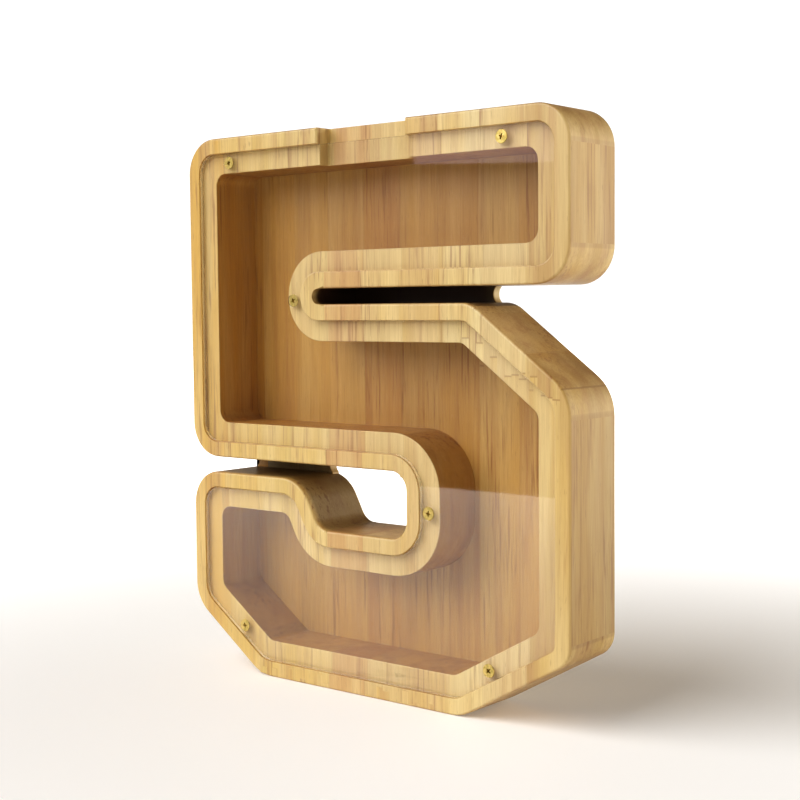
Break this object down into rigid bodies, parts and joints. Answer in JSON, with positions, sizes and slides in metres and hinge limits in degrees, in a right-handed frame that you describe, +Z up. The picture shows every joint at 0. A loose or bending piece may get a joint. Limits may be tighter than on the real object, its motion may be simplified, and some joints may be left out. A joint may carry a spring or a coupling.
{
  "type": "money box",
  "caption": "Wooden money box cut to a figure's outline from an edge-glued panel, milled hollow from the front, with a coin notch in the top and a clear screwed window.",
  "frame": {"origin": "middle of the footprint, on the plane that the flat base stands on", "axes": "+Z up along the figure's height, -Y out of the front face with the window, +X to the viewer's right when facing the window"},
  "size_m": [0.188, 0.03, 0.22],
  "materials": {
    "rubberwood_pale": "clear satin lacquer",
    "rubberwood_golden": "clear satin lacquer",
    "rubberwood_red_brown": "clear satin lacquer",
    "clear_acrylic": "clear, glossy, polished edge",
    "yellow_zinc": "yellow zinc plating, bright"
  },
  "bodies": {
    "panel": {"stave_1": "rubberwood_golden", "stave_2": "rubberwood_pale", "stave_3": "rubberwood_golden", "stave_4_lower": "rubberwood_pale", "stave_4_upper": "rubberwood_pale", "stave_5_lower": "rubberwood_red_brown", "stave_5_upper": "rubberwood_red_brown", "stave_6_lower": "rubberwood_golden", "stave_6_upper": "rubberwood_golden", "stave_7": "rubberwood_pale", "stave_8": "rubberwood_golden", "stave_9_lower": "rubberwood_pale", "stave_9_upper": "rubberwood_pale", "stave_10_lower": "rubberwood_golden", "stave_10_upper": "rubberwood_golden"},
    "window": {"window": "clear_acrylic"},
    "screw_top_left": {"screw_top_left": "yellow_zinc"},
    "screw_top_right": {"screw_top_right": "yellow_zinc"},
    "screw_cut_end": {"screw_cut_end": "yellow_zinc"},
    "screw_opening": {"screw_opening": "yellow_zinc"},
    "screw_base_right": {"screw_base_right": "yellow_zinc"},
    "screw_base_left": {"screw_base_left": "yellow_zinc"}
  },
  "joints": [
    {"name": "window_lift_off", "type": "slide", "parent": "panel", "child": "window", "axis": [0, -1, 0], "range_m": [0, 0.05]},
    {"name": "screw_top_left_unscrew", "type": "slide", "parent": "window", "child": "screw_top_left", "axis": [0, -1, 0], "range_m": [0, 0.018]},
    {"name": "screw_top_right_unscrew", "type": "slide", "parent": "window", "child": "screw_top_right", "axis": [0, -1, 0], "range_m": [0, 0.018]},
    {"name": "screw_cut_end_unscrew", "type": "slide", "parent": "window", "child": "screw_cut_end", "axis": [0, -1, 0], "range_m": [0, 0.018]},
    {"name": "screw_opening_unscrew", "type": "slide", "parent": "window", "child": "screw_opening", "axis": [0, -1, 0], "range_m": [0, 0.018]},
    {"name": "screw_base_right_unscrew", "type": "slide", "parent": "window", "child": "screw_base_right", "axis": [0, -1, 0], "range_m": [0, 0.018]},
    {"name": "screw_base_left_unscrew", "type": "slide", "parent": "window", "child": "screw_base_left", "axis": [0, -1, 0], "range_m": [0, 0.018]}
  ]
}
